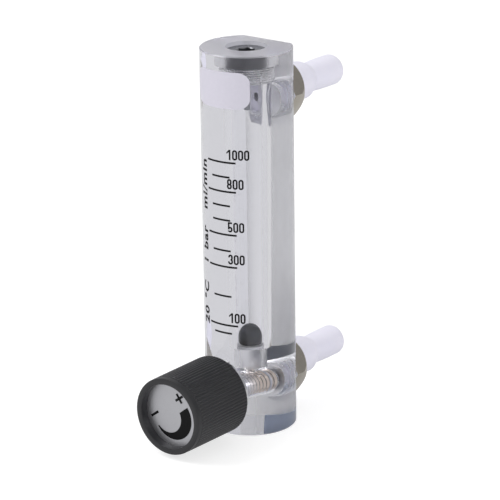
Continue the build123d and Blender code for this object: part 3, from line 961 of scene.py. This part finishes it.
class METER_OT_knob(bpy.types.Operator):
    """Builds the hollow black knob with its fine grip"""
    bl_idname = "meter.knob"
    bl_label = "Knob"

    def execute(self, context):
        values = context.scene.meter_knob
        rear = hi("knob").y
        front = lo("knob").y
        disc = hi("knob_label").y
        web = disc + 2.3
        hub_rear = web + 11.25
        rim = front + 1.6
        rear_radius = 11.03
        front_radius = 10.88
        recess = 9.1
        screw_head = 2.44
        screw_way = 1.29
        spindle_way = 2.47
        hub = 4.3

        def side(y):
            return front_radius + (rear_radius - front_radius) * (y - front) / (rear - front)

        grip = [(y, side(y)) for y in rows(rear - 0.45, rim + 0.45, 0.9)]
        outside = [(rear, rear_radius - 1.3), (rear, rear_radius - 0.35), (rear - 0.08, rear_radius - 0.14),
                   (rear - 0.3, rear_radius)] + grip + [
            (rim + 0.2, side(rim)), (rim, side(rim) - 0.1), (rim - 0.1, side(rim) - 0.12),
            (front + 0.35, front_radius - 0.02), (front + 0.12, front_radius - 0.08),
            (front, front_radius - 0.28)]
        face = [(front, recess + 0.15), (front + 0.06, recess + 0.03), (front + 0.2, recess), (disc, recess),
                (disc, screw_head), (disc + 1.52, screw_head), (disc + 1.52, screw_way)]
        hollow = [(web + 0.23, screw_way), (web + 0.23, spindle_way), (hub_rear, spindle_way),
                  (hub_rear, hub - 0.2), (hub_rear - 0.2, hub), (web + 0.3, hub), (web, hub + 0.3),
                  (web, recess), (web + 0.4, recess + 0.4)]
        knob = lathe("grip_knob", outside + face + hollow, values.ridges * values.samples, "Y", VALVE_LEVEL,
                     closed=True)
        apply_rule(knob, ridge_tree("grip ridges"), Level=VALVE_LEVEL * MM, Start=(rim + 0.2) * MM,
                   End=(rear - 0.05) * MM, Ridges=values.ridges, Depth=values.depth, Fade=0.4 * MM,
                   Reach=10.7 * MM, Material=MATERIALS["black_abs"])
        smooth(knob, 40)
        dress(knob, MATERIALS["black_abs"])
        place(knob, "valve_knob", "black_abs", "knob")
        return {"FINISHED"}


# Print


class MeterPrint(bpy.types.PropertyGroup):
    """Numbers of the printed legend."""
    words: StringProperty(name="Legend", description="Generic units printed beside the scale",
                          default="20 °C   1 bar   ml/min")
    height: FloatProperty(name="Letter height", description="Size of the letters", default=3.7 * MM,
                          unit="LENGTH")
    place: FloatProperty(name="Place", description="Angle from the bar's front to the line's middle",
                         default=math.radians(-28.2), subtype="ANGLE")
    foot: FloatProperty(name="Foot", description="Level of the line's lower end", default=31.0 * MM,
                        unit="LENGTH")
    top: FloatProperty(name="Top", description="Level of the line's upper end", default=78.0 * MM,
                       unit="LENGTH")


class METER_OT_print(bpy.types.Operator):
    """Prints the legend up the bar, and gives the CAD's own small pieces their finishes"""
    bl_idname = "meter.print"
    bl_label = "Printed scale"

    def execute(self, context):
        values = context.scene.meter_print
        self.wrap(self.flat_words(values), values)
        finishes = {
            "scale_marks": "black_ink", "scale_numbers": "black_ink", "knob_marks": "black_ink",
            "knob_label": "satin_disc", "blank_label": "label_film", "knob_screw": "stainless",
            "valve_spindle": "stainless", "float_seat": "seat_polymer", "inlet_seal": "silicone",
            "outlet_seal": "silicone", "cartridge_seal": "silicone", "spindle_seal": "seal_rubber",
        }
        for node, finish in finishes.items():
            dress(NODES[node], MATERIALS[finish])
        return {"FINISHED"}

    def flat_words(self, values):
        """The legend as a flat mesh along X."""
        curve = bpy.data.curves.new("legend", "FONT")
        curve.body = values.words
        curve.size = values.height
        curve.space_character = 1.1
        curve.offset = 0.09 * MM
        curve.align_x = "LEFT"
        curve.align_y = "CENTER"
        curve.resolution_u = 3
        text = bpy.data.objects.new("legend", curve)
        bpy.context.scene.collection.objects.link(text)
        bpy.context.view_layer.update()
        graph = bpy.context.evaluated_depsgraph_get()
        flat = bpy.data.meshes.new_from_object(text.evaluated_get(graph), depsgraph=graph)
        bpy.data.objects.remove(text)
        return flat

    def wrap(self, flat, values):
        """Thickens the flat words and bends them round the bar, reading upwards."""
        ink = 0.05 * MM
        lift = 0.004 * MM
        bm = bmesh.new()
        bm.from_mesh(flat)
        bpy.data.meshes.remove(flat)
        bmesh.ops.remove_doubles(bm, verts=bm.verts, dist=1e-6)
        low = min(v.co.x for v in bm.verts)
        high = max(v.co.x for v in bm.verts)
        stretch = (values.top - values.foot) / (high - low)
        made = bmesh.ops.extrude_face_region(bm, geom=list(bm.faces))
        for vert in made["geom"]:
            if isinstance(vert, bmesh.types.BMVert):
                vert.co.z = ink
        for vert in bm.verts:
            radius = BAR_RADIUS * MM + lift + vert.co.z
            angle = values.place - vert.co.y / (BAR_RADIUS * MM)
            along = values.foot + (vert.co.x - low) * stretch
            vert.co = Vector((radius * math.sin(angle), -radius * math.cos(angle), along))
        bmesh.ops.recalc_face_normals(bm, faces=bm.faces)
        if bm.calc_volume(signed=True) < 0:
            bmesh.ops.reverse_faces(bm, faces=bm.faces)
        legend = mesh_object("unit_legend", bm)
        dress(legend, MATERIALS["black_ink"])
        place(legend, "root", "black_ink")


# Stage


class MeterStage(bpy.types.PropertyGroup):
    """Camera and light."""
    turn: FloatProperty(name="Camera turn", description="Turn of the camera from the front towards the right",
                        default=math.radians(37.996), subtype="ANGLE")
    rise: FloatProperty(name="Camera rise", description="Height angle of the camera",
                        default=math.radians(18.194), subtype="ANGLE")
    roll: FloatProperty(name="Camera roll", description="Roll of the camera", default=math.radians(-0.805),
                        subtype="ANGLE")
    distance: FloatProperty(name="Camera distance", description="From the target to the camera",
                            default=749.04 * MM, unit="LENGTH")
    target: FloatVectorProperty(name="Target", description="Point on the bar's axis that the camera faces",
                                default=(0.0, 0.0, 52.0 * MM), subtype="TRANSLATION", unit="LENGTH")
    lens: FloatProperty(name="Lens", description="Focal length on a 36 mm sensor, in millimetres",
                        default=195.53)
    world: FloatProperty(name="World light", description="Strength of the even light all round", default=0.68)
    key: FloatProperty(name="Key light", description="Power of the large soft lamp in watts", default=4.8)
    fill: FloatProperty(name="Fill share", description="Power of the second lamp as a share of the first",
                        default=0.35)


class METER_OT_stage(bpy.types.Operator):
    """Sets the floor, the soft light and the camera"""
    bl_idname = "meter.stage"
    bl_label = "Stage"

    def execute(self, context):
        scene = context.scene
        values = scene.meter_stage
        self.floor()
        scene.world = self.soft_world(values.world)
        self.lamp("key", (-0.55, -0.5, 0.75), 0.5, values.key)
        self.lamp("fill", (0.75, -0.35, 0.35), 0.4, values.key * values.fill)
        scene.camera = self.camera(values)
        scene.view_settings.view_transform = "Standard"
        # light runs round inside the clear bar many times before it leaves
        turns_inside = 64
        scene.cycles.max_bounces = turns_inside
        scene.cycles.transmission_bounces = turns_inside
        scene.cycles.glossy_bounces = turns_inside
        return {"FINISHED"}

    def floor(self):
        """Pale paper that keeps the shadow, and looks white to the camera, in metal and through the bar."""
        bm = bmesh.new()
        bmesh.ops.create_grid(bm, x_segments=8, y_segments=8, size=6.0)
        floor = mesh_object("floor", bm)
        floor.data.transform(Matrix.Translation((0, 0, -0.05 * MM)))
        material, tree, shader = new_material("pale studio paper")
        ray = add_node(tree, "ShaderNodeLightPath").outputs
        camera = ray["Is Camera Ray"]
        mirrored = ray["Is Glossy Ray"]
        through = ray["Is Transmission Ray"]
        seen = formula(tree, ("MAXIMUM", ("MAXIMUM", camera, mirrored), through))
        # what the camera sees glows white by itself, so its own colour is darker there
        paper = add_node(tree, "ShaderNodeMix", [("Factor", seen), (6, linear("EAEAEB")),
                                                 (7, linear("BCBCBC"))], data_type="RGBA")
        paper = add_node(tree, "ShaderNodeMix", [("Factor", through), (6, paper.outputs[2]),
                                                 (7, linear("595959"))], data_type="RGBA")
        glow = formula(tree, ("ADD", ("ADD", ("MULTIPLY", camera, 0.68), ("MULTIPLY", mirrored, 0.3)),
                              ("MULTIPLY", through, 0.34)))
        tree.links.new(paper.outputs[2], shader.inputs["Base Color"])
        tree.links.new(glow, shader.inputs["Emission Strength"])
        shader.inputs["Emission Color"].default_value = linear("FFFFFF")
        shader.inputs["Roughness"].default_value = 0.9
        shader.inputs["Specular IOR Level"].default_value = 0.0
        dress(floor, material)

    def soft_world(self, strength):
        """Even light all round, a little brighter from above."""
        world = bpy.data.worlds.new("soft studio")
        world.use_nodes = True
        tree = world.node_tree
        tree.nodes.clear()
        where = add_node(tree, "ShaderNodeTexCoord").outputs["Generated"]
        split = add_node(tree, "ShaderNodeSeparateXYZ", [("Vector", where)])
        height = add_node(tree, "ShaderNodeMapRange", [("Value", split.outputs["Z"])], From_Min=-0.1,
                          From_Max=0.9)
        sky = add_node(tree, "ShaderNodeMix", [("Factor", height.outputs[0]), (6, linear("EFF0F4")),
                                               (7, linear("FFFFFF"))], data_type="RGBA")
        # a dark card behind and to the right gives the plated nuts their dark facets
        card = add_node(tree, "ShaderNodeVectorMath", [(0, where), (1, (0.56, 0.749, 0.351))],
                        operation="DOT_PRODUCT")
        shade = add_node(tree, "ShaderNodeMapRange", [("Value", card.outputs["Value"])], From_Min=0.86,
                         From_Max=0.94, To_Min=1.0, To_Max=0.7)
        power = formula(tree, ("MULTIPLY", shade.outputs[0], strength))
        light = add_node(tree, "ShaderNodeBackground", [("Color", sky.outputs[2]), ("Strength", power)])
        add_node(tree, "ShaderNodeOutputWorld", [("Surface", light.outputs[0])])
        return world

    def lamp(self, name, where, size, power):
        """Large soft lamp that faces the object; its place and size are in metres."""
        data = bpy.data.lights.new(name, "AREA")
        data.energy = power
        data.size = size
        lamp = bpy.data.objects.new(name, data)
        bpy.context.scene.collection.objects.link(lamp)
        direction = Vector((0, 0, 0.05)) - Vector(where)
        lamp.location = where
        lamp.rotation_euler = direction.to_track_quat("-Z", "Y").to_euler()

    def camera(self, values):
        """Camera where the photograph was taken from, found by a fit."""
        sensor = 36.0
        # side of the square picture, and where the target lies in it, in pixels
        picture = 500
        target_across = 248.92
        target_down = 243.47
        camera = bpy.data.cameras.new("camera")
        camera.sensor_width = sensor
        camera.lens = values.lens
        camera.clip_start = 0.01
        camera.clip_end = 20.0
        obj = bpy.data.objects.new("camera", camera)
        bpy.context.scene.collection.objects.link(obj)
        turn, rise, roll = values.turn, values.rise, values.roll
        back = Vector((math.sin(turn) * math.cos(rise), -math.cos(turn) * math.cos(rise), math.sin(rise)))
        flat_right = Vector((math.cos(turn), math.sin(turn), 0))
        flat_up = back.cross(flat_right)
        right = flat_right * math.cos(roll) + flat_up * math.sin(roll)
        up = flat_up * math.cos(roll) - flat_right * math.sin(roll)
        focal = values.lens / sensor * picture
        shift = right * (picture / 2 - target_across) + up * (target_down - picture / 2)
        location = Vector(values.target) + (back + shift / focal) * values.distance
        turned = Matrix((right, up, back)).transposed().to_4x4()
        obj.matrix_world = Matrix.Translation(location) @ turned
        return obj


# Add-on


class METER_PT_panel(bpy.types.Panel):
    """Sidebar panel with the meter's numbers and steps"""
    bl_idname = "METER_PT_panel"
    bl_label = "Flow meter"
    bl_space_type = "VIEW_3D"
    bl_region_type = "UI"
    bl_category = "Flow meter"

    def draw(self, context):
        for name, _ in GROUPS:
            group = getattr(context.scene, name)
            box = self.layout.box()
            for key in group.__annotations__:
                box.prop(group, key)
        for step in STEPS:
            self.layout.operator(step.bl_idname)


GROUPS = [("meter_colours", MeterColours), ("meter_bar", MeterBar), ("meter_ports", MeterPorts),
          ("meter_knob", MeterKnob), ("meter_print", MeterPrint), ("meter_stage", MeterStage)]
STEPS = [METER_OT_finishes, METER_OT_bar, METER_OT_flow, METER_OT_ports, METER_OT_valve, METER_OT_knob,
         METER_OT_print, METER_OT_stage]


def register():
    for name, group in GROUPS:
        bpy.utils.register_class(group)
        setattr(bpy.types.Scene, name, PointerProperty(type=group))
    for step in STEPS:
        bpy.utils.register_class(step)
    bpy.utils.register_class(METER_PT_panel)


def unregister():
    bpy.utils.unregister_class(METER_PT_panel)
    for step in reversed(STEPS):
        bpy.utils.unregister_class(step)
    for name, group in reversed(GROUPS):
        delattr(bpy.types.Scene, name)
        bpy.utils.unregister_class(group)


def main():
    register()
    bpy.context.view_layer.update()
    for step in STEPS:
        group, name = step.bl_idname.split(".")
        getattr(getattr(bpy.ops, group), name)()


if __name__ == "__main__":
    main()
